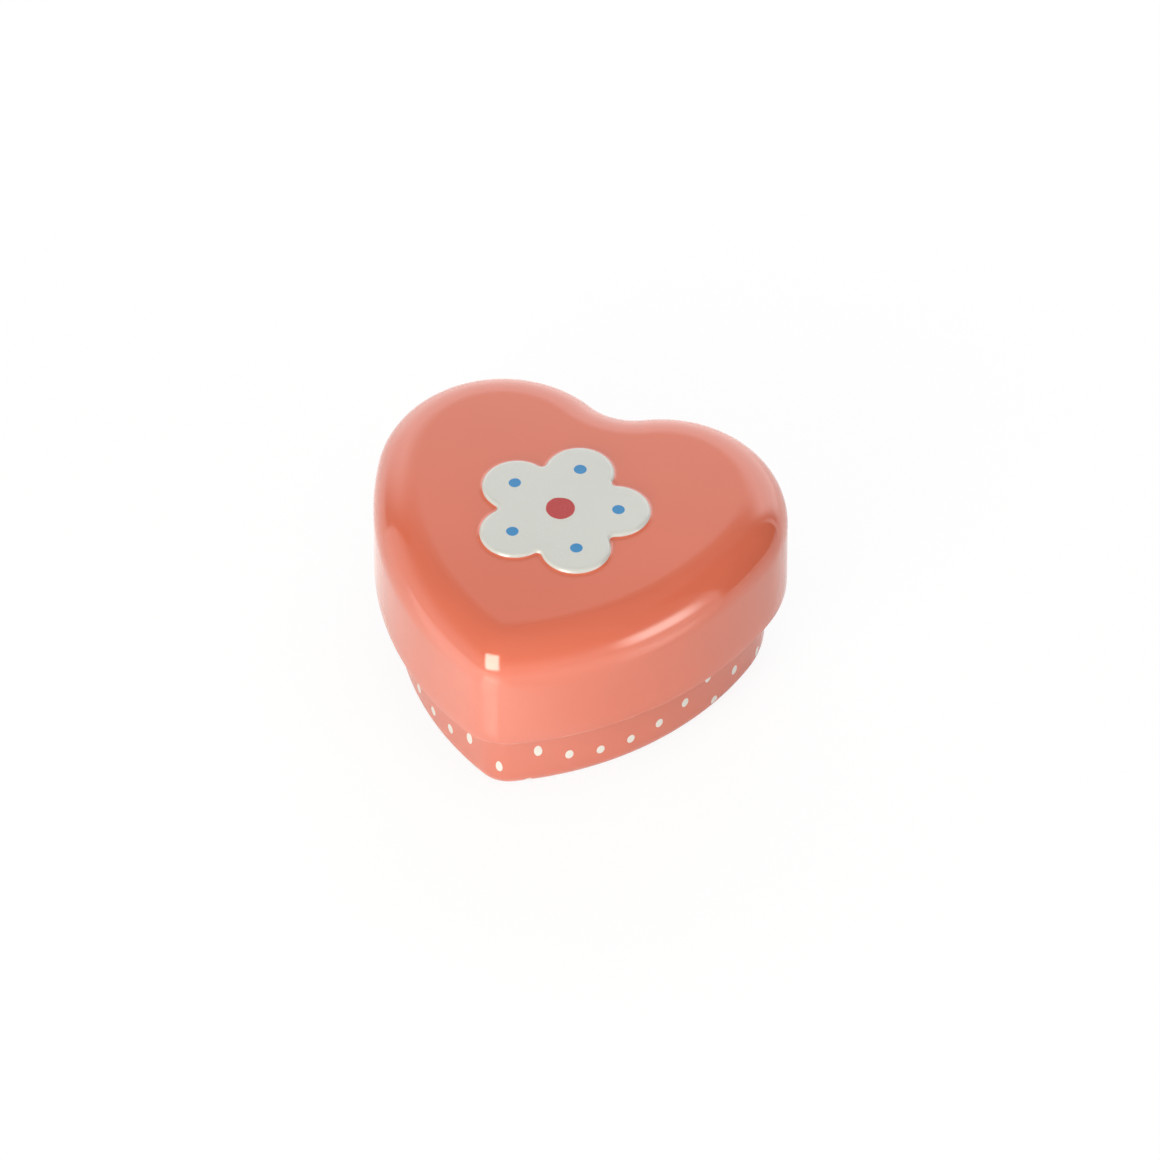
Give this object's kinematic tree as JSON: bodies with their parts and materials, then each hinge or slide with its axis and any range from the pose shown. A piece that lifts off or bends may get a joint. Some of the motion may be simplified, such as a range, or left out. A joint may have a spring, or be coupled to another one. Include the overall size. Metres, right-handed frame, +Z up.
{
  "type": "keepsake tin",
  "caption": "Heart-shaped painted tin with a rounded slip-on lid, a pressed flower emblem and a polka-dot base, for keeping milk teeth or other small keepsakes.",
  "frame": {"origin": "on the table, under the middle of the lid's outline", "axes": "+X across the two lobes, +Y from the heart's tip towards its cleft, +Z up, the way the lid lifts"},
  "size_m": [0.06, 0.0568, 0.031],
  "materials": {
    "base_paint": "gloss coral enamel with white polka dots outside, bare tinplate inside",
    "lid_paint": "gloss coral enamel with an off-white emblem outside, bare tinplate inside"
  },
  "bodies": {
    "base": {"base": "base_paint"},
    "lid": {"lid": "lid_paint"}
  },
  "joints": [
    {"name": "lid_lift", "type": "slide", "parent": "base", "child": "lid", "axis": [0, 0, 1], "range_m": [0, 0.045]}
  ]
}
